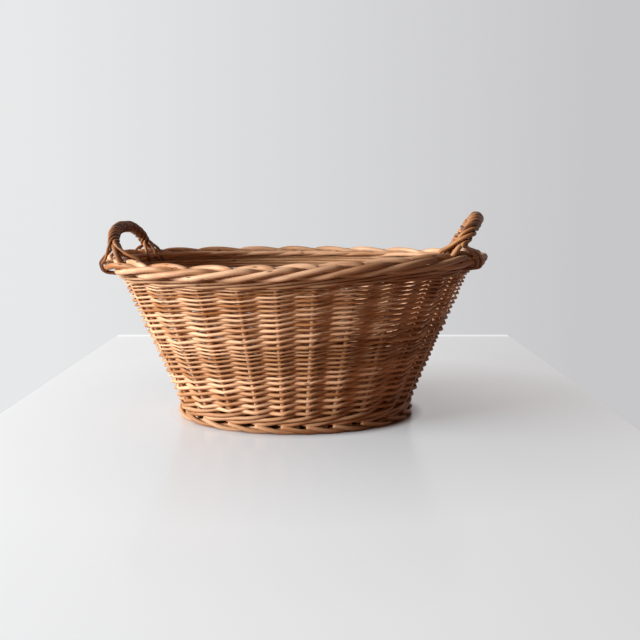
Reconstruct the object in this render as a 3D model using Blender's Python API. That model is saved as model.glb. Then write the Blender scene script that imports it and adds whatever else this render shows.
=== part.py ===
"""Oval willow basket with two roped end handles.

The basket is woven the way a maker weaves it: a pierced and woven bottom,
24 side stakes pricked up from its edge, an upsett wale, two bands of randing,
a top wale, the stakes turned down into a rod border, a roped foot, and a
handle bow with its wrapping rods at each end. Lengths are in millimetres.
"""
import math

import bmesh
import bpy
import numpy as np
from mathutils import Matrix, Vector

MM = 0.001

# Whole basket
RIM_LENGTH = 376.0
RIM_WIDTH = 258.0
FOOT_LENGTH = 236.0
FOOT_WIDTH = 180.0
RIM_HEIGHT = 159.0
FIT_GAP = 0.3
WEAVE_GAP = 0.4

# Stakes: rods that rise from the bottom and end as the border
STAKE_COUNT = 24
STAKE_BUTT = 5.0
STAKE_AT_RIM = 4.8
STAKE_TIP = 3.2
STAKE_PRICK = 7.0
STAKE_BEND = 6.0

# The stakes don't stand quite evenly: around each of these stations, within a
# reach, they are shifted by up to a share of their spacing
STAKE_SHIFTS = ((1.6, 2.5, -0.17), (9.4, 3.0, 0.38), (16.2, 3.2, 0.25), (21.7, 2.0, 0.22))

# Rod border, worked over the stakes
BORDER_WIDTH = 18.6
BORDER_RISE = 7.2

# Woven bottom
CROSS_STICK = 7.0
CROSS_STICK_COUNT = 5
CROSS_STICK_SPACING = 19.0
LONG_STICK = 4.4
LONG_STICK_COUNT = 3
SLOT_HEIGHT = 5.0
BOTTOM_WEAVER = 3.4
BOTTOM_ROUNDS = 6

# Roped foot
FOOT_ROD = 3.6
FOOT_STRANDS = 3
FOOT_TURNS = 8
FOOT_POINT_COUNT = 6
FOOT_OUT = 1.5
FOOT_FLAT = 0.5
FOOT_END_GAP = 0.25

# Wales
WALE_RODS = 3
WALE_SLOPE = 1.45
WALE_END_GAP = 0.06
UPSETT_ROD = 3.8
UPSETT_DROP = 2.5
TOP_WALE_ROD = 2.4

# Randing, in two bands that each start with butts and end with tips
RAND_ROUNDS = 9
RAND_BEGIN = 0.25
RAND_TAPER = 0.45
BAND_SPLIT = 0.53

# Handles: a bow pushed down beside a stake at each of its ends, roped over
RIGHT_HANDLE_RISE = 34.0
LEFT_HANDLE_RISE = 23.5
HANDLE_ROD = 5.4
HANDLE_FIRST_STAKE = -2.5
HANDLE_LAST_STAKE = 1.5
HANDLE_BESIDE = 5.6
HANDLE_TAIL = 34.0
RIGHT_HANDLE_LEAN = 20.0
LEFT_HANDLE_LEAN = 12.0
HANDLE_SHOULDER = 0.75
HANDLE_POINT_COUNT = 14
HANDLE_SAMPLE_COUNT = 224
WRAP_ROD = 3.0
WRAP_LIFT = 1.6
WRAP_STRANDS = 3
WRAP_TURNS = 4.0
WRAP_POINT_COUNT = 8

FULL_TURN = 2.0 * math.pi


def clear_scene():
    for item in list(bpy.data.objects):
        bpy.data.objects.remove(item, do_unlink=True)


clear_scene()
basket = bpy.data.collections.new("oval_willow_basket")
cutters = bpy.data.collections.new("cutters")
bpy.context.scene.collection.children.link(basket)
bpy.context.scene.collection.children.link(cutters)


def willow(name, colour, roughness):
    """Plain willow finish in one shade."""
    shade = bpy.data.materials.new(name)
    shade.use_nodes = True
    surface = shade.node_tree.nodes["Principled BSDF"]
    surface.inputs["Base Color"].default_value = (*colour, 1.0)
    surface.inputs["Roughness"].default_value = roughness
    surface.inputs["Metallic"].default_value = 0.0
    return shade


STAKE_WILLOW = willow("stake willow", (0.50, 0.31, 0.16), 0.6)
RAND_WILLOW = willow("randing willow", (0.56, 0.36, 0.19), 0.6)
WALE_WILLOW = willow("waling willow", (0.47, 0.29, 0.14), 0.6)
BOTTOM_WILLOW = willow("bottom willow", (0.36, 0.23, 0.13), 0.7)
HANDLE_WILLOW = willow("handle willow", (0.29, 0.15, 0.08), 0.5)


# Wall surface

BORDER_LEVEL = RIM_HEIGHT - BORDER_RISE
FOOT_CIRCLE = ((FOOT_ROD + FIT_GAP) / (2.0 * math.sin(math.pi / FOOT_STRANDS))
               / math.cos(math.pi / FOOT_POINT_COUNT))
FOOT_REACH = FOOT_CIRCLE + FOOT_ROD / 2.0
BOTTOM_LEVEL = FOOT_REACH * 2.0 - FOOT_FLAT + FIT_GAP + STAKE_BUTT / 2.0
WALL_FOOT = BOTTOM_LEVEL


def wall_axes(level):
    """Half length and half width of the wall's middle line at a height."""
    share = (level - WALL_FOOT) / (BORDER_LEVEL - WALL_FOOT)
    low_a = FOOT_LENGTH / 2.0 - FOOT_REACH - FOOT_OUT
    low_b = FOOT_WIDTH / 2.0 - FOOT_REACH - FOOT_OUT
    top_a = (RIM_LENGTH - BORDER_WIDTH) / 2.0
    top_b = (RIM_WIDTH - BORDER_WIDTH) / 2.0
    return low_a + (top_a - low_a) * share, low_b + (top_b - low_b) * share


def arc_table():
    """Ellipse angle against distance walked round the wall at mid height."""
    half_a, half_b = wall_axes((WALL_FOOT + BORDER_LEVEL) / 2.0)
    angle = np.linspace(0.0, FULL_TURN, 1441)
    step = np.hypot(np.diff(half_a * np.cos(angle)), np.diff(half_b * np.sin(angle)))
    walked = np.concatenate(([0.0], np.cumsum(step)))
    return walked * STAKE_COUNT / walked[-1], angle


ARC_STATION, ARC_ANGLE = arc_table()


def shifted(station):
    """Where a station lies once the stakes near the handles are shifted."""
    for middle, reach, shift in STAKE_SHIFTS:
        away = (station - middle + STAKE_COUNT / 2.0) % STAKE_COUNT - STAKE_COUNT / 2.0
        if abs(away) < reach:
            station += shift * math.cos(away / reach * math.pi / 2.0) ** 2
    return station


def angle_at(station):
    """Ellipse angle at a station counted in stake spacings, 0 at the +X end."""
    turns = math.floor(station / STAKE_COUNT)
    rest = station - turns * STAKE_COUNT
    return float(np.interp(rest, ARC_STATION, ARC_ANGLE)) + turns * FULL_TURN


def wall_point(station, level, out=0.0):
    """Point on the wall at a station and height, pushed out square to the wall."""
    half_a, half_b = wall_axes(level)
    foot_a, foot_b = wall_axes(WALL_FOOT)
    rim_a, rim_b = wall_axes(BORDER_LEVEL)
    angle = angle_at(shifted(station))
    cos, sin = math.cos(angle), math.sin(angle)
    along = Vector((-half_a * sin, half_b * cos, 0.0))
    upward = Vector(((rim_a - foot_a) * cos, (rim_b - foot_b) * sin, BORDER_LEVEL - WALL_FOOT))
    normal = along.cross(upward).normalized()
    return Vector((half_a * cos, half_b * sin, level)) + normal * out


def floor_point(station, inset, level=BOTTOM_LEVEL):
    """Point at a height, set in level from the wall's foot line."""
    half_a, half_b = wall_axes(WALL_FOOT)
    angle = angle_at(station)
    cos, sin = math.cos(angle), math.sin(angle)
    inward = Vector((-cos / half_a, -sin / half_b, 0.0)).normalized()
    return Vector((half_a * cos, half_b * sin, level)) + inward * inset


def rod(name, points, diameters, finish, sides=6, upright=False):
    """A willow rod: a round tube through the points, thinning as told."""
    line = bpy.data.curves.new(name, "CURVE")
    line.dimensions = "3D"
    line.bevel_depth = MM / 2.0
    line.bevel_resolution = (sides - 4) // 2
    line.use_fill_caps = True
    line.twist_mode = "MINIMUM" if upright else "Z_UP"
    spline = line.splines.new("POLY")
    spline.points.add(len(points) - 1)
    sizes = np.interp(np.linspace(0.0, 1.0, len(points)),
                      np.linspace(0.0, 1.0, len(diameters)), diameters)
    for place, point, size in zip(spline.points, points, sizes):
        place.co = (*(Vector(point) * MM), 1.0)
        place.radius = size
    line.materials.append(finish)
    piece = bpy.data.objects.new(name, line)
    basket.objects.link(piece)
    return piece


def as_mesh(piece):
    """Turn a rod's curve into one welded mesh object of the same name."""
    name = piece.name
    bpy.context.view_layer.update()
    graph = bpy.context.evaluated_depsgraph_get()
    mesh = bpy.data.meshes.new_from_object(piece.evaluated_get(graph))
    shell = bmesh.new()
    shell.from_mesh(mesh)
    bmesh.ops.remove_doubles(shell, verts=shell.verts, dist=0.00001)
    shell.to_mesh(mesh)
    shell.free()
    mesh.shade_smooth()
    mesh.set_sharp_from_angle(angle=math.radians(50.0))
    bpy.data.objects.remove(piece, do_unlink=True)
    solid = bpy.data.objects.new(name, mesh)
    basket.objects.link(solid)
    return solid


def cut_with(solid, cutter, label):
    """Cut one object out of another and keep the cutter out of sight."""
    knife = solid.modifiers.new(label, "BOOLEAN")
    knife.operation = "DIFFERENCE"
    knife.object = cutter
    cutter.hide_render = True
    cutter.display_type = "WIRE"


def block(name, centre, size):
    """A box cutter."""
    bpy.ops.mesh.primitive_cube_add(size=1.0, location=Vector(centre) * MM)
    cutter = bpy.context.active_object
    cutter.name = name
    cutter.data.transform(Matrix.Diagonal((*(Vector(size) * MM), 1.0)))
    for home in list(cutter.users_collection):
        home.objects.unlink(cutter)
    cutters.objects.link(cutter)
    return cutter


# Handle legs: where the bows are pushed down, so that the weave leaves them room

def leg_stations():
    """Stations of the four legs, each beside a stake on the side it turns away from."""
    spacing = (wall_point(HANDLE_LAST_STAKE + 1.0, BORDER_LEVEL)
               - wall_point(HANDLE_LAST_STAKE, BORDER_LEVEL)).length
    beside = HANDLE_BESIDE / spacing
    return [(end + HANDLE_FIRST_STAKE + beside, end + HANDLE_LAST_STAKE + beside)
            for end in (0.0, STAKE_COUNT / 2.0)]


LEG_STATIONS = leg_stations()
LEG_BOTTOM = BORDER_LEVEL - HANDLE_TAIL


def passing(station, level, size):
    """Where a weaving rod of some thickness passes a stake, with any leg beside it."""
    out = STAKE_BUTT / 2.0 + size / 2.0 + WEAVE_GAP
    if level < LEG_BOTTOM - size:
        return station, out
    for pair in LEG_STATIONS:
        for leg in pair:
            beside = (leg - station + STAKE_COUNT / 2.0) % STAKE_COUNT - STAKE_COUNT / 2.0
            if 0.0 < beside < 0.5:
                clear = HANDLE_ROD / 2.0 + size / 2.0 + WEAVE_GAP
                return station + beside / 2.0, clear / (1.0 - beside) + FIT_GAP
    return station, out


# Stakes and rod border

def border_route(rim_rod, tail_rod):
    """Places of a turned-down stake in the border's section.

    Each row gives how many spacings the rod has travelled, its distance out
    from the wall line and its height from the border's middle. The stake
    kinks over at the top, passes behind one stake, in front of two, and
    tucks back in under the rods that follow it. A handle leg goes down
    through the space that the rods leave on a stake's other side.
    """
    beside = rim_rod + FIT_GAP
    inner = (rim_rod + beside) / 2.0 + 0.9
    outer = BORDER_WIDTH / 2.0 - rim_rod / 2.0
    top = BORDER_RISE - rim_rod / 2.0
    low = beside + 0.3
    tail_in = (rim_rod + tail_rod) / 2.0 + FIT_GAP + 0.8
    return (
        (0.00, 0.0, top - 1.4),
        (0.12, -0.6, top),
        (0.50, -4.2, top - 0.1),
        (0.84, -inner, 2.3),
        (1.25, -4.4, -0.3),
        (1.50, -0.2, 0.4),
        (1.74, 4.4, 4.2),
        (2.00, outer - 0.6, 4.2),
        (2.50, outer, 1.0),
        (3.00, outer - 0.9, -3.0),
        (3.25, 3.6, -low + 0.3),
        (3.52, -1.2, -low),
        (3.84, -tail_in, -low + 0.8),
        (4.40, -tail_in - 0.4, -low + 1.4),
    )


def stake(number):
    """One stake: pricked into the bottom, up the wall, turned into the border."""
    station = number + 0.5
    foot_station = shifted(station)
    points = [
        floor_point(foot_station, STAKE_PRICK),
        floor_point(foot_station, STAKE_BEND / 2.0),
        floor_point(foot_station, STAKE_BEND / 8.0, BOTTOM_LEVEL + STAKE_BEND / 4.0),
        wall_point(station, BOTTOM_LEVEL + STAKE_BEND),
    ]
    for travel, out, up in border_route(STAKE_AT_RIM, STAKE_TIP):
        points.append(wall_point(station - travel, BORDER_LEVEL + up, out))
    sizes = [STAKE_BUTT] * 4 + [STAKE_AT_RIM] * 10 + [STAKE_TIP] * 4
    name = "stake_%02d" % (number + 1)
    return rod(name, points, sizes, STAKE_WILLOW, upright=True)


for number in range(STAKE_COUNT):
    stake(number)


# Wales: three rods, each in front of two stakes and behind one

def wale(name, level, size, finish, drop=0.0):
    """One round of three-rod wale at a height, its front strokes dropped if told."""
    step = (size + FIT_GAP) / 2.0
    for start in range(WALE_RODS):
        points = []
        first = WALE_RODS - start
        last = first + STAKE_COUNT
        for count in range(first, last + 1):
            station, out = passing(count + 0.5, level, size)
            place = (count + start) % WALE_RODS
            if place > 0:
                rise = step if place == 2 else -step
                points.append(wall_point(station, level - drop + rise, out))
                continue
            if count > first:
                points.append(wall_point(station - 0.5, level - drop / 2.0 + step * WALE_SLOPE))
            end_gap = WALE_END_GAP if count == last else 0.0
            points.append(wall_point(station - end_gap, level, -out))
            if count < last:
                points.append(wall_point(station + 0.5, level - drop - step * WALE_SLOPE))
        rod("%s_rod_%d" % (name, start + 1), points, [size, size], finish, sides=4)


UPSETT_LEVEL = BOTTOM_LEVEL + STAKE_BUTT / 2.0 + WEAVE_GAP + UPSETT_ROD / 2.0
TOP_WALE_LEVEL = BORDER_LEVEL - STAKE_AT_RIM * 1.5 - FIT_GAP * 3.0 - TOP_WALE_ROD - FIT_GAP
wale("upsett", UPSETT_LEVEL, UPSETT_ROD, WALE_WILLOW, UPSETT_DROP)
wale("top_wale", TOP_WALE_LEVEL, TOP_WALE_ROD, WALE_WILLOW)
RAND_FOOT = UPSETT_LEVEL + UPSETT_ROD / 2.0 + WEAVE_GAP * 3.0
RAND_TOP = TOP_WALE_LEVEL - TOP_WALE_ROD - FIT_GAP * 2.0
RAND_MIDDLE = RAND_FOOT + (RAND_TOP - RAND_FOOT) * BAND_SPLIT


# Randing: in front of one stake and behind the next

def randing(name, low, high):
    """One band of randing, laid by two rods that chase each other round."""
    first_pitch = (high - low) / (RAND_ROUNDS * (1.0 - RAND_TAPER / 2.0))

    def climb(rounds):
        return low + first_pitch * (rounds - RAND_TAPER * rounds ** 2 / (2.0 * RAND_ROUNDS))

    def thickness(rounds):
        pitch = first_pitch * (1.0 - RAND_TAPER * rounds / RAND_ROUNDS)
        return pitch / 2.0 - FIT_GAP

    for chase in range(2):
        points = []
        sizes = []
        first = chase * STAKE_COUNT // 2
        strokes = round((RAND_ROUNDS - 0.5) * STAKE_COUNT)
        for count in range(strokes + 1):
            rounds = RAND_BEGIN + count / STAKE_COUNT
            size = thickness(rounds)
            side = 1 if (first + count + chase) % 2 else -1
            station, out = passing(first + count + 0.5, climb(rounds), size)
            points.append(wall_point(station, climb(rounds), side * out))
            sizes.append(size)
        rod("%s_weaver_%d" % (name, chase + 1), points, sizes, RAND_WILLOW, sides=4)


randing("rand_lower", RAND_FOOT, RAND_MIDDLE)
randing("rand_upper", RAND_MIDDLE, RAND_TOP)


# Roped foot: rods laid as a rope under the stakes' bend, cut flat to stand on

def foot():
    """The rods of the foot, each a strand of one closed rope."""
    half_a = FOOT_LENGTH / 2.0 - FOOT_REACH
    half_b = FOOT_WIDTH / 2.0 - FOOT_REACH
    level = FOOT_REACH - FOOT_FLAT
    ground = block("ground", (0.0, 0.0, -FOOT_REACH),
                   (FOOT_LENGTH + FOOT_REACH * 4.0, FOOT_WIDTH + FOOT_REACH * 4.0, FOOT_REACH * 2.0))
    steps = FOOT_TURNS * FOOT_POINT_COUNT
    for strand in range(FOOT_STRANDS):
        points = []
        for count in range(steps + 1):
            share = min(count, steps - FOOT_END_GAP) / steps
            angle = angle_at(share * STAKE_COUNT)
            turn = FULL_TURN * (strand / FOOT_STRANDS - FOOT_TURNS * share) - math.pi / 2.0
            cos, sin = math.cos(angle), math.sin(angle)
            outward = Vector((cos / half_a, sin / half_b, 0.0)).normalized()
            middle = Vector((half_a * cos, half_b * sin, level))
            points.append(middle + outward * FOOT_CIRCLE * math.cos(turn)
                          + Vector((0.0, 0.0, FOOT_CIRCLE * math.sin(turn))))
        strand_rod = rod("foot_rod_%d" % (strand + 1), points, [FOOT_ROD, FOOT_ROD],
                         WALE_WILLOW, sides=4)
        cut_with(as_mesh(strand_rod), ground, "cut flat")


foot()


# Bottom: cross sticks slit in the middle, long sticks threaded through them

BAND_OUT = STAKE_PRICK + BOTTOM_WEAVER / 2.0 + FIT_GAP
STICK_OUT = STAKE_PRICK + FIT_GAP * 2.0
SPOKE_COUNT = 2 * (CROSS_STICK_COUNT + LONG_STICK_COUNT)
SLATH_WIDTH = LONG_STICK_COUNT * (LONG_STICK + FIT_GAP) + FIT_GAP
SLATH_SHOULDER = SLATH_WIDTH / 2.0 + BOTTOM_WEAVER
SLATH_END = CROSS_STICK_SPACING * (CROSS_STICK_COUNT - 1) / 2.0 + CROSS_STICK / 2.0


def spoke_station(index):
    """Station at which a spoke of the bottom points, spokes spread evenly."""
    return index * STAKE_COUNT / SPOKE_COUNT


def cross_stick(number):
    """One cross stick, fanned a little at its ends and slit for the long sticks."""
    along = (number - (CROSS_STICK_COUNT - 1) / 2.0) * CROSS_STICK_SPACING
    spoke = SPOKE_COUNT / 4.0 - (number - (CROSS_STICK_COUNT - 1) / 2.0)
    tip = floor_point(spoke_station(spoke), STICK_OUT)
    shoulder = SLATH_SHOULDER
    points = [Vector((tip.x, -tip.y, BOTTOM_LEVEL)), Vector((along, -shoulder, BOTTOM_LEVEL)),
              Vector((along, shoulder, BOTTOM_LEVEL)), tip]
    stick = rod("cross_stick_%d" % (number + 1), points, [CROSS_STICK] * 2, BOTTOM_WILLOW)
    slit = block("slit_%d" % (number + 1), (along, 0.0, BOTTOM_LEVEL),
                 (CROSS_STICK * 2.0, SLATH_WIDTH, SLOT_HEIGHT))
    cut_with(as_mesh(stick), slit, "slit")


def long_stick(number):
    """One long stick: straight through the slits, then fanned at both ends."""
    place = number - (LONG_STICK_COUNT - 1) / 2.0
    across = place * (LONG_STICK + FIT_GAP)
    tip = floor_point(spoke_station(place), STICK_OUT)
    straight = SLATH_END + CROSS_STICK / 2.0
    points = [Vector((-tip.x, tip.y, BOTTOM_LEVEL)), Vector((-straight, across, BOTTOM_LEVEL)),
              Vector((straight, across, BOTTOM_LEVEL)), tip]
    rod("long_stick_%d" % (number + 1), points, [LONG_STICK] * 2, BOTTOM_WILLOW)


for number in range(CROSS_STICK_COUNT):
    cross_stick(number)
for number in range(LONG_STICK_COUNT):
    long_stick(number)


# Bottom weavers: two rods that chase each other, over one spoke and under the next

def spoke_place(index):
    """First and last crossing of a spoke, and the spoke's thickness."""
    index = index % SPOKE_COUNT
    last = floor_point(spoke_station(index), BAND_OUT)
    around = (index + SPOKE_COUNT / 4.0) % (SPOKE_COUNT / 2.0) - SPOKE_COUNT / 4.0
    if abs(around) <= (LONG_STICK_COUNT - 1) / 2.0:
        side = 1.0 if last.x > 0.0 else -1.0
        begin = SLATH_END + CROSS_STICK + LONG_STICK
        straight = SLATH_END + CROSS_STICK / 2.0
        share = (begin - straight) / (abs(floor_point(0.0, STICK_OUT).x) - straight)
        spread = (LONG_STICK + FIT_GAP) * around
        tip = floor_point(spoke_station(around), STICK_OUT)
        first = Vector((side * begin, side * (spread + (tip.y - spread) * share), BOTTOM_LEVEL))
        return first, last, LONG_STICK
    quarter = SPOKE_COUNT / 4.0
    top = index < SPOKE_COUNT / 2.0
    number = (quarter - index) if top else (index - 3.0 * quarter)
    first = Vector((number * CROSS_STICK_SPACING, SLATH_SHOULDER * (1.0 if top else -1.0),
                    BOTTOM_LEVEL))
    return first, last, CROSS_STICK


def bottom_weaver(chase):
    """One of the two rods that fill the bottom, from the slath to the stakes."""
    flat = []
    clear = []
    strokes = round((BOTTOM_ROUNDS - 0.5) * SPOKE_COUNT)
    for count in range(strokes + 1):
        first, last, stick = spoke_place(count + chase * SPOKE_COUNT // 2)
        flat.append(first.lerp(last, count / strokes))
        clear.append((stick + BOTTOM_WEAVER) / 2.0 + WEAVE_GAP)
    points = []
    for count, (point, lift) in enumerate(zip(flat, clear)):
        before, after = max(count - 1, 0), min(count + 1, strokes)
        steep = max((lift + clear[other]) / (point - flat[other]).length
                    for other in (before, after) if other != count)
        over = 1.0 if (count + chase * SPOKE_COUNT // 2 + chase) % 2 else -1.0
        points.append(point + Vector((0.0, 0.0, over * lift * math.hypot(1.0, steep))))
    rod("bottom_weaver_%d" % (chase + 1), points, [BOTTOM_WEAVER] * 2, BOTTOM_WILLOW, sides=4)


for chase in range(2):
    bottom_weaver(chase)


# Handles: a bow with its legs in the wall, and rods laid round it as a rope

def bow_line(legs, height, lean, samples):
    """The bow's middle line above the border, and the direction square to its arch."""
    near, far = (wall_point(leg, RIM_HEIGHT) for leg in legs)
    middle = (near + far) / 2.0
    half = (far - near) / 2.0
    outward = half.cross(Vector((0.0, 0.0, 1.0))).normalized()
    rise = Vector((0.0, 0.0, height)) + outward * lean
    line = []
    for count in range(samples + 1):
        turn = math.pi * count / samples
        across = abs(math.cos(turn)) ** HANDLE_SHOULDER * (1.0 if turn < math.pi / 2.0 else -1.0)
        line.append(middle - half * across + rise * math.sin(turn) ** HANDLE_SHOULDER)
    return line, half.cross(rise).normalized()


def least_gap(points, size, apart):
    """Least gap of a rod to itself between points that are some steps apart."""
    return min((points[i] - points[j]).length
               for i in range(len(points)) for j in range(i + apart, len(points))) - size


def handle(name, legs, height, lean):
    """One handle: the bow and its wrapping rods."""
    line = bow_line(legs, height, lean, HANDLE_POINT_COUNT)[0]
    levels = (LEG_BOTTOM, (LEG_BOTTOM + BORDER_LEVEL) / 2.0, BORDER_LEVEL)
    down = [wall_point(legs[0], level) for level in levels]
    up = [wall_point(legs[1], level) for level in reversed(levels)]
    rod("%s_bow" % name, down + line + up, [HANDLE_ROD] * 2, HANDLE_WILLOW, upright=True)

    fine, square = bow_line(legs, height, lean, HANDLE_SAMPLE_COUNT)
    bow = np.array([tuple(point) for point in fine])
    walked = np.concatenate(([0.0], np.cumsum(np.linalg.norm(np.diff(bow, axis=0), axis=1))))

    def along_bow(distance):
        return Vector([float(np.interp(distance, walked, bow[:, axis])) for axis in range(3)])

    def on_bow(distance, turn, out):
        near = WRAP_ROD / 3.0
        ahead = (along_bow(distance + near) - along_bow(distance - near)).normalized()
        beside = ahead.cross(square)
        return along_bow(distance) + (square * math.cos(turn) + beside * math.sin(turn)) * out

    clear = (HANDLE_ROD / 2.0 + WRAP_ROD / 2.0 + FIT_GAP) / math.cos(math.pi / WRAP_POINT_COUNT)
    begin = WRAP_LIFT + WRAP_ROD
    finish = walked[-1] - begin
    steps = round(WRAP_TURNS * WRAP_POINT_COUNT)
    gap = math.inf
    for strand in range(WRAP_STRANDS):
        lay = FULL_TURN * strand / WRAP_STRANDS
        points = [on_bow(WRAP_LIFT, lay, clear)]
        for count in range(steps + 1):
            share = count / steps
            points.append(on_bow(begin + (finish - begin) * share,
                                 lay + FULL_TURN * WRAP_TURNS * share, clear))
        points.append(on_bow(walked[-1] - WRAP_LIFT, lay + FULL_TURN * WRAP_TURNS, clear))
        rod("%s_wrap_%d" % (name, strand + 1), points, [WRAP_ROD] * 2, HANDLE_WILLOW,
            upright=True)
        gap = min(gap, least_gap(points, WRAP_ROD, WRAP_POINT_COUNT // 2))
    print("%s wrapping: least gap of a rod to itself %.1f mm" % (name, gap))


handle("right_handle", LEG_STATIONS[0], RIGHT_HANDLE_RISE, RIGHT_HANDLE_LEAN)
handle("left_handle", LEG_STATIONS[1], LEFT_HANDLE_RISE, LEFT_HANDLE_LEAN)
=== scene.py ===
import math
import random

import bpy
import numpy as np
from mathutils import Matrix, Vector


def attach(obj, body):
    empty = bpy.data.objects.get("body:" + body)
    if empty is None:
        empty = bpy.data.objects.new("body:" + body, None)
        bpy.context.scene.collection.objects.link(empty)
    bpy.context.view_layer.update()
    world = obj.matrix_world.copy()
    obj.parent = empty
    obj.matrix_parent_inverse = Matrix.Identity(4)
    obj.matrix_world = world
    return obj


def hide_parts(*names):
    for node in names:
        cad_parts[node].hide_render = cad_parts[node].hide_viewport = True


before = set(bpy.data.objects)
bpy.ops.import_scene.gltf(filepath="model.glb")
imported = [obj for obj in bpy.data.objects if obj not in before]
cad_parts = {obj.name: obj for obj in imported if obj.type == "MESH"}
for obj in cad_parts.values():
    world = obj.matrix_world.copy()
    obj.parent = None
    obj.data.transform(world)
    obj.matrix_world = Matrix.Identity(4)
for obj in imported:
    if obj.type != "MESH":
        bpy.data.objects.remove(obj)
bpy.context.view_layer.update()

# The table that the basket stands on: a white laminate top with an eased edge.
# It carries the basket's shadow and is no part of it.
MM = 0.001
TABLE_LEFT = -297.0
TABLE_RIGHT = 324.0
TABLE_FRONT = -900.0
TABLE_BACK = 433.0
TABLE_THICK = 24.0
TABLE_EDGE = 5.0
TABLE_SMOOTH = 40.0
TABLE_LIT = "#D9E8F6"
# Painted shade: the brown that the table is painted inside the basket's foot.
PAINTED_SHADE_UNDER_BASKET = "#6B4326"
BOUNCE = "#9C6C46"
CLOUD_SCALE = 9.0
GLOSS_SPREAD = 0.04
# The share of an even tone in what is seen of the table, far off and near the foot, and
# over which distances it sets in. They are counted from the basket's middle, where 1 is
# the edge of its foot. Up to the edge, the table is painted brown as painted shade.
TABLE_SHARE = 0.58
NEAR_SHARE = 0.29
FOOT_HALVES = (118.0, 92.0)
PAINTED_SHADE_RING = (0.9, 1.0)
NEAR_RING = (1.0, 1.1)
FAR_RING = (1.2, 3.2)


def linear(hex_colour):
    """An sRGB hex colour as linear RGBA."""
    parts = [int(hex_colour[i:i + 2], 16) / 255.0 for i in (1, 3, 5)]
    return (*[c / 12.92 if c <= 0.04045 else ((c + 0.055) / 1.055) ** 2.4 for c in parts], 1.0)


def add_node(tree, kind, inputs=None, links=None, **settings):
    """Add a node, set its properties and sockets, and link what feeds it."""
    made = tree.nodes.new(kind)
    for name, value in settings.items():
        setattr(made, name, value)
    for name, value in (inputs or {}).items():
        made.inputs[name].default_value = value
    for name, source in (links or {}).items():
        tree.links.new(source, made.inputs[name])
    return made


def seen_rays(tree):
    """1 for the camera's own rays and for those that a sheen or glass sends on."""
    ray = add_node(tree, "ShaderNodeLightPath")
    straight = add_node(tree, "ShaderNodeMath", operation="MAXIMUM",
                        links={0: ray.outputs["Is Camera Ray"], 1: ray.outputs["Is Glossy Ray"]})
    either = add_node(tree, "ShaderNodeMath", operation="MAXIMUM",
                      links={0: straight.outputs[0], 1: ray.outputs["Is Transmission Ray"]})
    return either.outputs[0]


def room_finish(name, lit_colour, left_colour, right_colour, reach, share, roughness):
    """A pale surface, partly a glow that falls off to the right as painted light."""
    finish = bpy.data.materials.new(name)
    finish.use_nodes = True
    tree = finish.node_tree
    surface = tree.nodes["Principled BSDF"]
    place = add_node(tree, "ShaderNodeTexCoord").outputs["Object"]
    cloud = add_node(tree, "ShaderNodeTexNoise", inputs={"Scale": CLOUD_SCALE},
                     links={"Vector": place})
    gloss = add_node(tree, "ShaderNodeMapRange",
                     inputs={"To Min": roughness - GLOSS_SPREAD,
                             "To Max": roughness + GLOSS_SPREAD},
                     links={"Value": cloud.outputs["Fac"]})
    tree.links.new(gloss.outputs["Result"], surface.inputs["Roughness"])
    side = add_node(tree, "ShaderNodeSeparateXYZ", links={0: place})
    # The glow is painted light: lighter on the left, towards the window, darker to the right.
    painted_light_fall = add_node(tree, "ShaderNodeMapRange",
                    inputs={"From Min": -reach * MM, "From Max": reach * MM},
                    links={"Value": side.outputs["X"]})
    tone = add_node(tree, "ShaderNodeMix", data_type="RGBA",
                    inputs={6: linear(left_colour), 7: linear(right_colour)},
                    links={0: painted_light_fall.outputs["Result"]})
    even = add_node(tree, "ShaderNodeEmission", links={"Color": tone.outputs[2]})
    foot = (1.0 / (FOOT_HALVES[0] * MM), 1.0 / (FOOT_HALVES[1] * MM), 1.0)
    scaled = add_node(tree, "ShaderNodeVectorMath", operation="MULTIPLY", inputs={1: foot},
                      links={0: place})
    away = add_node(tree, "ShaderNodeVectorMath", operation="LENGTH", links={0: scaled.outputs[0]})

    def rise_over(ring, most):
        return add_node(tree, "ShaderNodeMapRange",
                        inputs={"From Min": ring[0], "From Max": ring[1], "To Max": most},
                        links={"Value": away.outputs["Value"]}).outputs["Result"]

    # Inside the foot the surface is painted brown: painted shade under the basket.
    paint = add_node(tree, "ShaderNodeMix", data_type="RGBA",
                     inputs={6: linear(PAINTED_SHADE_UNDER_BASKET), 7: linear(lit_colour)},
                     links={0: rise_over(PAINTED_SHADE_RING, 1.0)})
    tree.links.new(paint.outputs[2], surface.inputs["Base Color"])
    # Under the basket there is no even tone, and round its foot less of it, so that the
    # real shadow shows there.
    clear = add_node(tree, "ShaderNodeMath", operation="ADD",
                     links={0: rise_over(NEAR_RING, NEAR_SHARE),
                            1: rise_over(FAR_RING, share - NEAR_SHARE)})
    part = add_node(tree, "ShaderNodeMath", operation="MULTIPLY",
                    links={0: seen_rays(tree), 1: clear.outputs[0]})
    shown = add_node(tree, "ShaderNodeMixShader",
                     links={0: part.outputs[0], 1: surface.outputs[0], 2: even.outputs[0]})
    # What the surface throws back on the basket is kept low and warm, so that the shaded
    # side is as deep a brown as in the photograph.
    ray = add_node(tree, "ShaderNodeLightPath")
    dim = add_node(tree, "ShaderNodeBsdfDiffuse", inputs={"Color": linear(BOUNCE)})
    either = add_node(tree, "ShaderNodeMixShader",
                      links={0: ray.outputs["Is Diffuse Ray"], 1: shown.outputs[0],
                             2: dim.outputs[0]})
    tree.links.new(either.outputs[0], tree.nodes["Material Output"].inputs["Surface"])
    return finish


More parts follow.
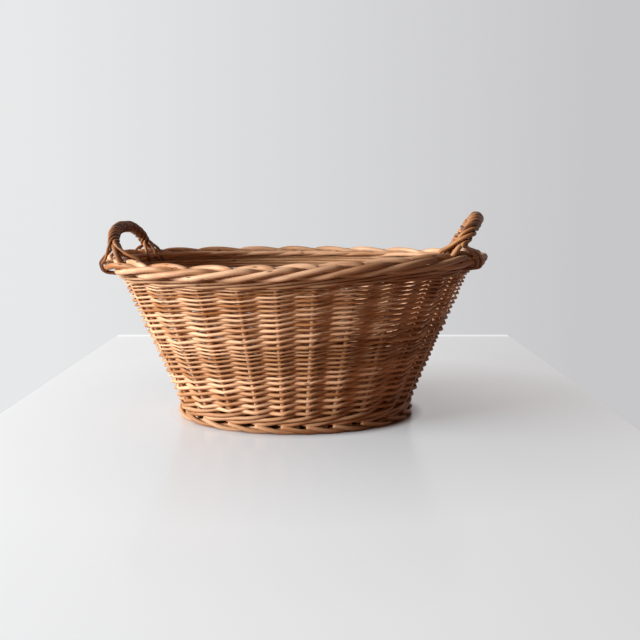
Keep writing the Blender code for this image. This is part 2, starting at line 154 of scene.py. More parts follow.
bpy.ops.object.select_all(action="DESELECT")
bpy.ops.mesh.primitive_cube_add(
    size=1.0,
    location=((TABLE_LEFT + TABLE_RIGHT) / 2.0 * MM, (TABLE_FRONT + TABLE_BACK) / 2.0 * MM,
              -TABLE_THICK / 2.0 * MM),
    scale=((TABLE_RIGHT - TABLE_LEFT) * MM, (TABLE_BACK - TABLE_FRONT) * MM, TABLE_THICK * MM))
table_top = bpy.context.active_object
table_top.name = "table_top"
bpy.ops.object.transform_apply(location=True, rotation=True, scale=True)
bpy.ops.object.mode_set(mode="EDIT")
bpy.ops.mesh.bevel(offset=TABLE_EDGE * MM, segments=4)
bpy.ops.object.mode_set(mode="OBJECT")
bpy.ops.object.shade_smooth_by_angle(angle=math.radians(TABLE_SMOOTH))
# What is seen of the top is partly a glow, a little lighter on the left: painted light.
table_top.data.materials.append(
    room_finish("white laminate", TABLE_LIT, "#FFFFFF", "#EFEFF0", 300.0, TABLE_SHARE, 0.22))

# The table's far edge: a painted highlight, a bright line where the laminate rolls over.
# It is a thin strip that lies along the back of the top, seen mostly as a white glow.
EDGE_DEPTH = 12.0
EDGE_THICK = 1.0

bpy.ops.object.select_all(action="DESELECT")
bpy.ops.mesh.primitive_cube_add(
    size=1.0,
    location=((TABLE_LEFT + TABLE_RIGHT) / 2.0 * MM, (TABLE_BACK - EDGE_DEPTH / 2.0) * MM, 0.0),
    scale=((TABLE_RIGHT - TABLE_LEFT - 2.0 * TABLE_EDGE) * MM, EDGE_DEPTH * MM, EDGE_THICK * MM))
table_edge_highlight = bpy.context.active_object
table_edge_highlight.name = "table_edge_highlight"
bpy.ops.object.transform_apply(location=True, rotation=True, scale=True)
table_edge_highlight.data.materials.append(
    room_finish("white laminate, painted edge highlight", "#FFFFFF", "#FFFFFF", "#EDEEF0", 300.0, 0.9, 0.3))

# The wall behind the table: a flat pale grey paint, lighter towards the window
# on the left, as the photograph has it.
WALL_AWAY = 1500.0
WALL_REACH = 6000.0

bpy.ops.object.select_all(action="DESELECT")
bpy.ops.mesh.primitive_plane_add(size=WALL_REACH * MM, location=(0.0, WALL_AWAY * MM, 0.0),
                                 rotation=(math.pi / 2.0, 0.0, 0.0))
back_wall = bpy.context.active_object
back_wall.name = "back_wall"
bpy.ops.object.transform_apply(location=True, rotation=True, scale=True)
# What is seen of the wall is mostly a glow, painted lighter on the left: painted light.
back_wall.data.materials.append(
    room_finish("grey wall paint", "#A9AAAB", "#E9EAEB", "#C9C9CB", 800.0, 0.96, 0.8))

# Daylight: a wide soft window on the left, and the room's own weak warm light
# from all sides. What the camera sees past the table and the wall is pale grey.
WINDOW_PLACE = (-3500.0, -1250.0, 1230.0)
WINDOW_AIM = (0.0, 0.0, 90.0)
WINDOW_SIZE = (2400.0, 1900.0)
WINDOW_WATTS = 335.0
WINDOW_COLOUR = "#FFF9F1"
ROOM_LIGHT = 0.088
ROOM_COLOUR = "#FF9F66"
BEYOND_COLOUR = "#DCDDDE"

window = bpy.data.objects.new("window", bpy.data.lights.new("window", "AREA"))
window.data.shape = "RECTANGLE"
window.data.size = WINDOW_SIZE[0] * MM
window.data.size_y = WINDOW_SIZE[1] * MM
window.data.energy = WINDOW_WATTS
window.data.color = linear(WINDOW_COLOUR)[:3]
window.location = Vector(WINDOW_PLACE) * MM
window_way = Vector(WINDOW_AIM) - Vector(WINDOW_PLACE)
window.rotation_euler = window_way.to_track_quat("-Z", "Y").to_euler()
window.visible_camera = False
bpy.context.scene.collection.objects.link(window)

room = bpy.data.worlds.new("room")
room.use_nodes = True
sky = room.node_tree
sky.nodes.clear()
lit = add_node(sky, "ShaderNodeBackground",
               inputs={"Color": linear(ROOM_COLOUR), "Strength": ROOM_LIGHT})
seen = add_node(sky, "ShaderNodeBackground",
                inputs={"Color": linear(BEYOND_COLOUR), "Strength": 1.0})
shown = add_node(sky, "ShaderNodeMixShader",
                 links={0: seen_rays(sky), 1: lit.outputs["Background"],
                        2: seen.outputs["Background"]})
add_node(sky, "ShaderNodeOutputWorld", links={"Surface": shown.outputs["Shader"]})
bpy.context.scene.world = room

# The camera: a little above the rim and looking slightly down, as in the
# photograph, from where the basket's near side and far rim both show.
CAMERA_PLACE = (24.6, -762.0, 211.0)
CAMERA_DOWN = 8.9
CAMERA_FOCAL = 770.0
IMAGE_WIDTH = 640.0

camera = bpy.data.objects.new("camera", bpy.data.cameras.new("camera"))
camera.data.lens = CAMERA_FOCAL * camera.data.sensor_width / IMAGE_WIDTH
camera.location = Vector(CAMERA_PLACE) * MM
camera.rotation_euler = (math.radians(90.0 - CAMERA_DOWN), 0.0, 0.0)
bpy.context.scene.collection.objects.link(camera)
bpy.context.scene.camera = camera
bpy.context.scene.view_settings.view_transform = "Standard"

# Bottom sticks: five thick cross sticks, slit in the middle, with three long
# sticks threaded through the slits. They are peeled willow, and their ends are
# fanned out so that they reach the wall evenly.
RIM_LENGTH = 376.0
RIM_WIDTH = 258.0
FOOT_LENGTH = 236.0
FOOT_WIDTH = 180.0
RIM_HEIGHT = 159.0
BORDER_WIDTH = 18.6
BORDER_RISE = 7.2
# How far the wall stands in below the border: at the top and at the foot of its ends,
# its share at the long sides, and how far down and over what height it sets in.
LIP_AT_RIM = 7.0
LIP_AT_FOOT = 2.5
LIP_SIDES = 0.4
LIP_START = 3.5
LIP_RISE = 5.5
# Stakes are counted from the right end, and stand shifted round four places: the
# place, how far round it, and by how much, all in stake spacings.
STAKE_COUNT = 24
STAKE_BUTT = 5.0
STAKE_SHIFTS = ((1.6, 2.5, -0.17), (9.4, 3.0, 0.38), (16.2, 3.2, 0.25), (21.7, 2.0, 0.22))
ARC_SAMPLES = 1440
GAP = 0.3
# The foot's rope: its lay is how much wider it is than rods packed tight, then how far
# it stands out from the wall, and how much of it is worn flat below.
FOOT_ROD = 3.6
FOOT_STRANDS = 3
FOOT_LAY = 1.155
FOOT_OUT = 1.5
FOOT_FLAT = 0.5
FULL_TURN = 2.0 * math.pi
ROD_STEP = 2.0

BORDER_LEVEL = RIM_HEIGHT - BORDER_RISE
FOOT_CIRCLE = (FOOT_ROD + GAP) / (2.0 * math.sin(math.pi / FOOT_STRANDS)) * FOOT_LAY
FOOT_REACH = FOOT_CIRCLE + FOOT_ROD / 2.0
BOTTOM_LEVEL = FOOT_REACH * 2.0 - FOOT_FLAT + GAP + STAKE_BUTT / 2.0
chance = random.Random(24)


def wall_axes(level):
    """Half length and half width of the wall's middle line at a height.

    Below the border the wall stands in a little, so that the border overhangs it.
    """
    share = (level - BOTTOM_LEVEL) / (BORDER_LEVEL - BOTTOM_LEVEL)
    below = min(1.0, max(0.0, (BORDER_LEVEL - LIP_START - level) / LIP_RISE))
    lip = below * (LIP_AT_FOOT + (LIP_AT_RIM - LIP_AT_FOOT) * share)
    low_a = FOOT_LENGTH / 2.0 - FOOT_REACH - FOOT_OUT
    low_b = FOOT_WIDTH / 2.0 - FOOT_REACH - FOOT_OUT
    top_a = (RIM_LENGTH - BORDER_WIDTH) / 2.0
    top_b = (RIM_WIDTH - BORDER_WIDTH) / 2.0
    return (low_a + (top_a - low_a) * share - lip,
            low_b + (top_b - low_b) * share - lip * LIP_SIDES)


def arc_table():
    """Ellipse angle against distance walked round the wall at mid height."""
    half_a, half_b = wall_axes((BOTTOM_LEVEL + BORDER_LEVEL) / 2.0)
    angle = np.linspace(0.0, FULL_TURN, ARC_SAMPLES + 1)
    step = np.hypot(np.diff(half_a * np.cos(angle)), np.diff(half_b * np.sin(angle)))
    walked = np.concatenate(([0.0], np.cumsum(step)))
    return walked * STAKE_COUNT / walked[-1], angle


ARC_STATION, ARC_ANGLE = arc_table()


def shifted(station):
    """Where a station lies once the stakes near the handles are shifted."""
    for middle, reach, shift in STAKE_SHIFTS:
        away = (station - middle + STAKE_COUNT / 2.0) % STAKE_COUNT - STAKE_COUNT / 2.0
        if abs(away) < reach:
            station += shift * math.cos(away / reach * math.pi / 2.0) ** 2
    return station


def angle_at(station):
    """Ellipse angle at a station counted in stake spacings, 0 at the +X end."""
    turns = math.floor(station / STAKE_COUNT)
    rest = station - turns * STAKE_COUNT
    return float(np.interp(rest, ARC_STATION, ARC_ANGLE)) + turns * FULL_TURN


def floor_point(station, inset, level=BOTTOM_LEVEL):
    """Point at a height, set in level from the wall's foot line."""
    half_a, half_b = wall_axes(BOTTOM_LEVEL)
    angle = angle_at(station)
    cos, sin = math.cos(angle), math.sin(angle)
    inward = Vector((-cos / half_a, -sin / half_b, 0.0)).normalized()
    return Vector((half_a * cos, half_b * sin, level)) + inward * inset


def bend(points, step=ROD_STEP):
    """A smooth line through the points, and where each sample lies among them."""
    knots = [Vector(point) for point in points]
    runs = [(b - a).length for a, b in zip(knots, knots[1:])]
    ways = [(b - a) / run for a, b, run in zip(knots, knots[1:], runs)]
    turns = [ways[0]]
    for i in range(1, len(ways)):
        turns.append((ways[i - 1] * runs[i] + ways[i] * runs[i - 1]) / (runs[i - 1] + runs[i]))
    turns.append(ways[-1])
    line = []
    places = []
    for i, run in enumerate(runs):
        many = max(1, round(run / step))
        for j in range(many):
            t = j / many
            line.append(knots[i] * (2 * t ** 3 - 3 * t ** 2 + 1)
                        + knots[i + 1] * (3 * t ** 2 - 2 * t ** 3)
                        + turns[i] * run * (t ** 3 - 2 * t ** 2 + t)
                        + turns[i + 1] * run * (t ** 3 - t ** 2))
            places.append(i + t)
    return line + [knots[-1]], places + [len(runs)]


def rod(points, thick, tone, step=ROD_STEP):
    """A rod bent through the points. thick goes from its first to its last end."""
    line, places = bend(points, step)
    sizes = np.interp(np.array(places) / places[-1], np.linspace(0.0, 1.0, len(thick)), thick)
    return line, list(sizes), tone


# What each rod has of its own: how grey it is, its cut ends eased by shares of its
# thickness, and where it starts along one endless grain.
GREY_RANGE = (-0.15, 0.25)
END_EASE = 0.12
END_SIZE = 0.72
GRAIN_SPREAD = 5000.0
MERGE_REACH = 0.01
SMOOTH_ANGLE = 50.0


def tone_of(depth, spread=0.5, grey=0.0):
    """A rod's tone: its depth of colour, and its grey, random and on the border painted shade."""
    return depth + chance.uniform(-spread, spread), max(0.0, grey + chance.uniform(*GREY_RANGE))


def ease_ends(points, sizes):
    """Chamfer a rod's two cut ends a little, as worn ends are."""
    points = [Vector(point) for point in points]
    sizes = list(sizes)
    for end, other in ((0, 1), (-1, -2)):
        ahead = (points[other] - points[end]).normalized()
        extra = points[end] + ahead * sizes[end] * END_EASE
        size = sizes[end]
        sizes[end] = size * END_SIZE
        points.insert(1 if end == 0 else len(points) - 1, extra)
        sizes.insert(1 if end == 0 else len(sizes) - 1, size)
    return points, sizes


def lay_rods(name, rods, finish, nodes, sides=8):
    """One mesh of round rods, with each rod's grain and tone kept on its surface."""
    eased = [(*ease_ends(points, sizes), tone) for points, sizes, tone in rods]
    line = bpy.data.curves.new(name, "CURVE")
    line.dimensions = "3D"
    line.bevel_depth = MM / 2.0
    line.bevel_resolution = (sides - 4) // 2
    line.use_fill_caps = True
    line.twist_mode = "MINIMUM"
    for points, sizes, tone in eased:
        spline = line.splines.new("POLY")
        spline.points.add(len(points) - 1)
        places = [(*(point * MM), 1.0) for point in points]
        spline.points.foreach_set("co", np.array(places).ravel())
        spline.points.foreach_set("radius", np.array(sizes))
    piece = bpy.data.objects.new(name, line)
    bpy.context.scene.collection.objects.link(piece)
    bpy.ops.object.select_all(action="DESELECT")
    piece.select_set(True)
    bpy.context.view_layer.objects.active = piece
    bpy.ops.object.convert(target="MESH")

    # Blender lays the caps first, from the last rod to the first, then the rings.
    around = np.arange(sides) * FULL_TURN / sides
    caps = []
    tubes = []
    tones = {"caps": [], "tubes": []}
    for points, sizes, tone in eased:
        runs = [(b - a).length for a, b in zip(points, points[1:])]
        along = np.concatenate(([0.0], np.cumsum(runs))) + chance.uniform(0.0, GRAIN_SPREAD)
        rings = np.array([[(far, size / 2.0 * math.cos(turn), size / 2.0 * math.sin(turn))
                           for turn in around] for far, size in zip(along, sizes)]) * MM
        caps.insert(0, np.concatenate((rings[-1], rings[0])))
        tubes.append(rings.reshape(-1, 3))
        tones["caps"].insert(0, np.tile((*tone, 0.0), (2 * sides, 1)))
        tones["tubes"].append(np.tile((*tone, 0.0), (len(tubes[-1]), 1)))
    mesh = piece.data
    for label, rows in (("grain", caps + tubes), ("tone", tones["caps"] + tones["tubes"])):
        kept = mesh.attributes.new(label, "FLOAT_VECTOR", "POINT")
        kept.data.foreach_set("vector", np.concatenate(rows).astype(np.float32).ravel())
    bpy.ops.object.mode_set(mode="EDIT")
    bpy.ops.mesh.select_all(action="SELECT")
    bpy.ops.mesh.remove_doubles(threshold=MERGE_REACH * MM)
    bpy.ops.object.mode_set(mode="OBJECT")
    bpy.ops.object.shade_smooth_by_angle(angle=math.radians(SMOOTH_ANGLE))
    piece.data.materials.clear()
    piece.data.materials.append(finish)
    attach(piece, "root")
    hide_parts(*nodes)
    return piece


# Marks on a rod's skin: how long and wide each kind is, and how much it darkens. Then
# how far its gloss and relief follow them.
STREAK_SIZE = (14.0, 0.7)
STREAK_DEPTH = 0.16
STAIN_SIZE = (40.0, 5.0)
STAIN_DEPTH = 0.32
SCAR_SIZE = (22.0, 6.0)
SCAR_OUTSIDE = 0.16
SCAR_INSIDE = 0.08
SCAR_DARK = 0.85
NOISE_LOW = 0.3
NOISE_HIGH = 0.7
SMOOTHER = 0.07
ROUGHER = 0.1
RELIEF_SHARE = 0.7
RELIEF_DEPTH = 0.12
SKIN_IOR = 1.5
SKIN_SHEEN = 0.3


def along_grain(tree, grain, length, width):
    """A rod's grain, scaled for marks of a length along it and a width round it."""
    marks = (1.0 / (length * MM), 1.0 / (width * MM), 1.0 / (width * MM))
    return add_node(tree, "ShaderNodeVectorMath", operation="MULTIPLY", inputs={1: marks},
                    links={0: grain}).outputs[0]


def stretch(tree, noise, low, high):
    """The middle of a noise, stretched to run from low to high."""
    ends = {"From Min": NOISE_LOW, "From Max": NOISE_HIGH, "To Min": low, "To Max": high}
    return add_node(tree, "ShaderNodeMapRange", inputs=ends,
                    links={"Value": noise}).outputs["Result"]


def willow(name, pale, deep, grey, scar, roughness):
    """Willow rod: satin skin, streaks along the grain, stains and leaf scars."""
    finish = bpy.data.materials.new(name)
    finish.use_nodes = True
    tree = finish.node_tree
    surface = tree.nodes["Principled BSDF"]
    grain = add_node(tree, "ShaderNodeAttribute", attribute_name="grain").outputs["Vector"]
    tone = add_node(tree, "ShaderNodeAttribute", attribute_name="tone").outputs["Vector"]
    tone = add_node(tree, "ShaderNodeSeparateXYZ", links={0: tone})

    # Streaks in the skin. Real fibres are half as wide, too fine to show.
    streak = add_node(tree, "ShaderNodeTexNoise", inputs={"Scale": 1.0, "Detail": 2.0},
                      links={"Vector": along_grain(tree, grain, *STREAK_SIZE)}).outputs["Fac"]
    # Stains that run some way along the rod and a few millimetres round it.
    stain = add_node(tree, "ShaderNodeTexNoise", inputs={"Scale": 1.0, "Detail": 3.0},
                     links={"Vector": along_grain(tree, grain, *STAIN_SIZE)}).outputs["Fac"]
    # Leaf scars: a dark fleck every now and then along the rod.
    fleck = add_node(tree, "ShaderNodeTexVoronoi", inputs={"Scale": 1.0},
                     links={"Vector": along_grain(tree, grain, *SCAR_SIZE)}).outputs["Distance"]
    scarred = add_node(tree, "ShaderNodeMapRange",
                       inputs={"From Min": SCAR_OUTSIDE, "From Max": SCAR_INSIDE, "To Min": 0.0,
                               "To Max": SCAR_DARK},
                       links={"Value": fleck}).outputs["Result"]

    depth = add_node(tree, "ShaderNodeMath", operation="ADD",
                     links={0: tone.outputs["X"],
                            1: stretch(tree, stain, -STAIN_DEPTH, STAIN_DEPTH)}).outputs[0]
    depth = add_node(tree, "ShaderNodeMath", operation="ADD", use_clamp=True,
                     links={0: depth,
                            1: stretch(tree, streak, -STREAK_DEPTH, STREAK_DEPTH)}).outputs[0]
    colour = add_node(tree, "ShaderNodeMix", data_type="RGBA",
                      inputs={6: linear(pale), 7: linear(deep)}, links={0: depth}).outputs[2]
    # Mixed towards grey by the rod's tone: a random grey, and painted shade on the border.
    greyed = add_node(tree, "ShaderNodeMath", operation="MULTIPLY", use_clamp=True,
                      links={0: tone.outputs["Y"], 1: stain}).outputs[0]
    colour = add_node(tree, "ShaderNodeMix", data_type="RGBA", inputs={7: linear(grey)},
                      links={0: greyed, 6: colour}).outputs[2]
    colour = add_node(tree, "ShaderNodeMix", data_type="RGBA", inputs={7: linear(scar)},
                      links={0: scarred, 6: colour}).outputs[2]
    tree.links.new(colour, surface.inputs["Base Color"])
    gloss = stretch(tree, stain, roughness - SMOOTHER, roughness + ROUGHER)
    tree.links.new(gloss, surface.inputs["Roughness"])
    relief = add_node(tree, "ShaderNodeMath", operation="SUBTRACT",
                      links={0: streak, 1: scarred}).outputs[0]
    bump = add_node(tree, "ShaderNodeBump",
                    inputs={"Strength": RELIEF_SHARE, "Distance": RELIEF_DEPTH * MM},
                    links={"Height": relief}).outputs["Normal"]
    tree.links.new(bump, surface.inputs["Normal"])
    surface.inputs["IOR"].default_value = SKIN_IOR
    surface.inputs["Specular IOR Level"].default_value = SKIN_SHEEN
    return finish


# Painted shade: browner and darker than the wall, as rods in the basket's shade look.
# The skin is rougher too.
SHADED_BOTTOM_WILLOW = willow("peeled willow, dull", "#B98655", "#7E502E", "#8D8273", "#3E2817", 0.62)

CROSS_STICK = 7.0
CROSS_STICK_TAPER = 1.2
CROSS_STICK_COUNT = 5
CROSS_STICK_SPACING = 19.0
LONG_STICK = 4.4
LONG_STICK_TAPER = 0.6
LONG_STICK_COUNT = 3
SHOULDER_ROOM = 3.4
SLIT_HEIGHT = 5.0
STICK_INSET = 7.6
SLATH_WIDTH = LONG_STICK_COUNT * (LONG_STICK + GAP) + GAP
SLATH_END = CROSS_STICK_SPACING * (CROSS_STICK_COUNT - 1) / 2.0 + CROSS_STICK / 2.0
SLATH_SHOULDER = SLATH_WIDTH / 2.0 + SHOULDER_ROOM
SPOKE_COUNT = 2 * (CROSS_STICK_COUNT + LONG_STICK_COUNT)

for number in range(CROSS_STICK_COUNT):
    place = number - (CROSS_STICK_COUNT - 1) / 2.0
    along = place * CROSS_STICK_SPACING
    tip = floor_point((SPOKE_COUNT / 4.0 - place) * STAKE_COUNT / SPOKE_COUNT, STICK_INSET)
    route = [Vector((along, SLATH_SHOULDER * share, BOTTOM_LEVEL)) for share in (-1.0, 0.0, 1.0)]
    route = [Vector((tip.x, -tip.y, BOTTOM_LEVEL)), *route, tip]
    end = CROSS_STICK - CROSS_STICK_TAPER
    stick = lay_rods("cross_stick_rod_%d" % (number + 1),
                     [rod(route, [end, CROSS_STICK, CROSS_STICK, end], tone_of(0.5, 0.3))],
                     SHADED_BOTTOM_WILLOW, ["cross_stick_%d" % (number + 1)], sides=12)
    bpy.ops.object.select_all(action="DESELECT")
    bpy.ops.mesh.primitive_cube_add(
        size=1.0, location=(along * MM, 0.0, BOTTOM_LEVEL * MM),
        scale=(CROSS_STICK * 2.0 * MM, SLATH_WIDTH * MM, SLIT_HEIGHT * MM))
    slit = bpy.context.active_object
    bpy.context.view_layer.objects.active = stick
    cut = stick.modifiers.new("slit", "BOOLEAN")
    cut.operation = "DIFFERENCE"
    cut.object = slit
    bpy.ops.object.modifier_apply(modifier=cut.name)
    bpy.data.objects.remove(slit, do_unlink=True)

for number in range(LONG_STICK_COUNT):
    place = number - (LONG_STICK_COUNT - 1) / 2.0
    across = place * (LONG_STICK + GAP)
    tip = floor_point(place * STAKE_COUNT / SPOKE_COUNT, STICK_INSET)
    straight = SLATH_END + CROSS_STICK / 2.0
    route = [Vector((straight * share, across, BOTTOM_LEVEL))
             for share in (-1.0, -0.9, 0.0, 0.9, 1.0)]
    route = [Vector((-tip.x, tip.y, BOTTOM_LEVEL)), *route, tip]
    end = LONG_STICK - LONG_STICK_TAPER
    lay_rods("long_stick_rod_%d" % (number + 1),
             [rod(route, [end, LONG_STICK, end], tone_of(0.5, 0.3))],
             SHADED_BOTTOM_WILLOW, ["long_stick_%d" % (number + 1)], sides=12)

# Bottom weavers: thin rods that chase each other round the sticks, over one
# and under the next, beaten close. Four more rounds bind the stakes' butts
# before they are bent up.
BOTTOM_WEAVER = 2.6
BOTTOM_WEAVER_TIP = 0.9
BOTTOM_ROUNDS = 10
BOTTOM_EDGE = 12.6
BINDING_ROD = 2.6
BINDING_TIP = 0.85
BINDING_INSETS = (3.2, 5.6, 7.9, 10.2)
WEAVER_STEP = 3.0
JOIN_EVERY = 22


def spoke_place(index):
    """First and last crossing of a bottom stick's end, and the stick's thickness."""
    index = index % SPOKE_COUNT
    last = floor_point(index * STAKE_COUNT / SPOKE_COUNT, BOTTOM_EDGE)
    around = (index + SPOKE_COUNT / 4.0) % (SPOKE_COUNT / 2.0) - SPOKE_COUNT / 4.0
    if abs(around) <= (LONG_STICK_COUNT - 1) / 2.0:
        side = 1.0 if last.x > 0.0 else -1.0
        begin = SLATH_END + CROSS_STICK
        spread = (LONG_STICK + BOTTOM_WEAVER) * around
        return Vector((side * begin, side * spread, BOTTOM_LEVEL)), last, LONG_STICK
    top = index < SPOKE_COUNT / 2.0
    quarter = SPOKE_COUNT / 4.0
    number = (quarter - index) if top else (index - 3.0 * quarter)
    first = Vector((number * CROSS_STICK_SPACING, SLATH_SHOULDER * (1.0 if top else -1.0),
                    BOTTOM_LEVEL))
    return first, last, CROSS_STICK


for chase in range(2):
    points = []
    strokes = BOTTOM_ROUNDS * SPOKE_COUNT
    for count in range(strokes + 1):
        index = count + chase * SPOKE_COUNT // 2
        first, last, stick = spoke_place(index)
        over = 1.0 if (index + chase) % 2 else -1.0
        lift = (stick + BOTTOM_WEAVER) / 2.0
        points.append(first.lerp(last, count / strokes) + Vector((0.0, 0.0, over * lift)))
    rods = []
    for begin in range(0, strokes, JOIN_EVERY):
        part = points[begin:begin + JOIN_EVERY + 1]
        rods.append(rod(part, [BOTTOM_WEAVER, BOTTOM_WEAVER * BOTTOM_WEAVER_TIP],
                        tone_of(0.45, 0.35), WEAVER_STEP))
    lay_rods("bottom_weave_%d" % (chase + 1), rods, SHADED_BOTTOM_WILLOW,
             ["bottom_weaver_%d" % (chase + 1)])

rods = []
for chase, inset in enumerate(BINDING_INSETS):
    points = []
    for count in range(STAKE_COUNT + 1):
        over = 1.0 if (count + chase) % 2 else -1.0
        points.append(floor_point(shifted(count + 0.5), inset)
                      + Vector((0.0, 0.0, over * (STAKE_BUTT + BINDING_ROD) / 2.0)))
    rods.append(rod(points, [BINDING_ROD, BINDING_ROD * BINDING_TIP], tone_of(0.45, 0.3),
                    WEAVER_STEP))
lay_rods("bottom_binding", rods, SHADED_BOTTOM_WILLOW, ["bottom_weaver_2"])

# Side stakes: 24 willow rods with their butts pushed into the bottom, bent up
# sharply at its edge. At the top each is kinked over, laid behind one stake
# and in front of two, and tucked under: that is the rod border.
STAKE_AT_RIM = 4.9
BORDER_ROD = 5.4
STAKE_TIP = 4.7
STAKE_END = 3.7
STAKE_PRICK = 12.0
STAKE_BEND = 6.0
INNER_ROOM = 0.6
TAIL_ROOM = 0.8
LAY_UNEVEN = 0.25
# Painted shade: the border is greyer and darker but at the basket's left end, by the window.
BORDER_SHADE_FROM = -0.35
BORDER_SHADE_GREY = 0.55
STROKE_AHEAD = 2.0
# Where the rim stands high or low: the angle round the oval in degrees, and the height.
RIM_UNEVEN = ((-30.0, 5.6), (-125.0, -3.0), (180.0, 1.5))
# The palest rods, with a satin skin that takes the window's light.
STAKE_WILLOW = willow("peeled willow", "#EAC3A2", "#9E6433", "#856A50", "#4A2E1A", 0.48)


def wall_point(station, level, out=0.0):
    """Point on the wall at a station and height, pushed out square to the wall."""
    half_a, half_b = wall_axes(level)
    foot_a, foot_b = wall_axes(BOTTOM_LEVEL)
    rim_a, rim_b = wall_axes(BORDER_LEVEL)
    angle = angle_at(shifted(station))
    cos, sin = math.cos(angle), math.sin(angle)
    along = Vector((-half_a * sin, half_b * cos, 0.0))
    upward = Vector(((rim_a - foot_a) * cos, (rim_b - foot_b) * sin, BORDER_LEVEL - BOTTOM_LEVEL))
    normal = along.cross(upward).normalized()
    share = (level - BOTTOM_LEVEL) / (BORDER_LEVEL - BOTTOM_LEVEL)
    uneven = sum(lift * max(0.0, math.cos(angle - math.radians(place))) ** 3
                 for place, lift in RIM_UNEVEN)
    return Vector((half_a * cos, half_b * sin, level + uneven * share)) + normal * out


def border_route():
    """A turned-down stake, from its bend at the rim to its tucked-in end.

    Each row is the spacings travelled, the distance out and the height, both from the
    border's middle line.
    """
    beside = STAKE_AT_RIM + GAP
    inner = (STAKE_AT_RIM + beside) / 2.0 + INNER_ROOM
    outer = (BORDER_WIDTH - STAKE_AT_RIM) / 2.0
    top = BORDER_RISE - STAKE_AT_RIM / 2.0
    tail_in = (STAKE_AT_RIM + STAKE_TIP) / 2.0 + GAP + TAIL_ROOM
    return (
        (0.00, 0.0, top - 2.4),
        (0.12, -0.6, top - 1.5),
        (0.50, -4.2, top - 1.7),
        (0.84, -inner, 1.0),
        (1.24, -4.2, -1.6),
        (1.38, 0.2, 0.4),
        (1.56, 4.2, 2.9),
        (1.82, outer - 0.9, 3.2),
        (2.12, outer, 1.7),
        (2.46, outer, -0.5),
        (2.80, outer - 0.4, -2.8),
        (3.06, outer - 2.4, -beside + 1.2),
        (3.36, 0.8, -beside),
        (3.80, -tail_in, -beside + 0.9),
        (5.60, -tail_in - 0.4, -1.2),
    )


for number in range(STAKE_COUNT):
    station = number + 0.5
    foot_station = shifted(station)
    route = [
        floor_point(foot_station, STAKE_PRICK),
        floor_point(foot_station, STAKE_BEND / 2.0),
        floor_point(foot_station, STAKE_BEND / 8.0, BOTTOM_LEVEL + STAKE_BEND / 4.0),
    ]
    straight = (BOTTOM_LEVEL + STAKE_BEND, BOTTOM_LEVEL + 3.0 * STAKE_BEND,
                (BOTTOM_LEVEL + BORDER_LEVEL) / 2.0, BORDER_LEVEL - 2.0 * STAKE_BEND)
    route += [wall_point(station, level) for level in straight]
    lean = chance.uniform(-LAY_UNEVEN, LAY_UNEVEN)
    for travel, out, up in border_route():
        route.append(wall_point(station - travel, BORDER_LEVEL + up, out + lean))
    sizes = [STAKE_BUTT] * 8 + [BORDER_ROD] * 12 + [STAKE_TIP, STAKE_END]
    # Painted shade: all but the left end's strokes are greyed and darkened.
    border_shade_painted = math.cos(angle_at(station - STROKE_AHEAD)) > BORDER_SHADE_FROM
    lay_rods("side_stake_%02d" % (number + 1),
             [rod(route, sizes, tone_of(0.4, 0.35, BORDER_SHADE_GREY if border_shade_painted else 0.0))],
             STAKE_WILLOW, ["stake_%02d" % (number + 1)], sides=12)

# Handle legs: where the handles' bows are pushed down beside the stakes, so
# that the weave goes round a stake and a leg together.
HANDLE_ROD = 5.4
HANDLE_FIRST_STAKE = -2.5
HANDLE_LAST_STAKE = 1.5
HANDLE_BESIDE = 5.6
HANDLE_TAIL = 34.0
LEG_BOTTOM = BORDER_LEVEL - HANDLE_TAIL
spacing = (wall_point(HANDLE_LAST_STAKE + 1.0, BORDER_LEVEL)
           - wall_point(HANDLE_LAST_STAKE, BORDER_LEVEL)).length
LEG_STATIONS = [(end + HANDLE_FIRST_STAKE + HANDLE_BESIDE / spacing,
                 end + HANDLE_LAST_STAKE + HANDLE_BESIDE / spacing)
                for end in (0.0, STAKE_COUNT / 2.0)]


def passing(station, level, size):
    """Where a weaving rod passes a stake: its station and its distance out.

    Where a handle's leg stands beside the stake, the rod goes round both.
    """
    if level > LEG_BOTTOM - size:
        for leg in LEG_STATIONS[0] + LEG_STATIONS[1]:
            beside = (leg - station + STAKE_COUNT / 2.0) % STAKE_COUNT - STAKE_COUNT / 2.0
            if 0.0 < beside < 0.5:
                clear = (HANDLE_ROD + size) / 2.0 + GAP
                return station + beside / 2.0, clear / (1.0 - beside) + GAP
    return station, (STAKE_BUTT + size) / 2.0 + GAP


# Upsett wale: thick rods in one round at the foot of the wall, each in front
# of three stakes and behind one. It sets the stakes upright.
UPSETT_ROD = 3.1
UPSETT_BUTT = 3.8
UPSETT_TIP = 3.5
UPSETT_STRANDS = 4
UPSETT_ROOM = 0.4
UPSETT_LEVEL = BOTTOM_LEVEL + STAKE_BUTT / 2.0 + UPSETT_ROD / 2.0 + UPSETT_ROOM
UPSETT_DROP = 2.3
# Browner than the randing, so that the wales frame the wall.
WALE_WILLOW = willow("peeled willow, waled", "#D1AC89", "#965F33", "#8C7660", "#45290F", 0.5)


def wale_rod(start, strands, level, size, drop):
    """One rod of a wale that goes once round, behind one stake and in front of the rest."""
    step = (size + GAP) / 2.0
    middle = level - drop / 2.0
    route = []
    first = strands - start
    for count in range(first, first + STAKE_COUNT + 1):
        station, out = passing(count + 0.5, level, size)
        place = (count + start) % strands
        if place == 0:
            if count > first:
                route.append(wall_point(station - 0.5, middle + step * strands / 2.0))
            route.append(wall_point(station, level, -out))
            if count < first + STAKE_COUNT:
                route.append(wall_point(station + 0.5, middle - step * strands / 2.0))
        else:
            rise = (2.0 * place - strands) * step
            route.append(wall_point(station, level - drop + rise, out))
    return route


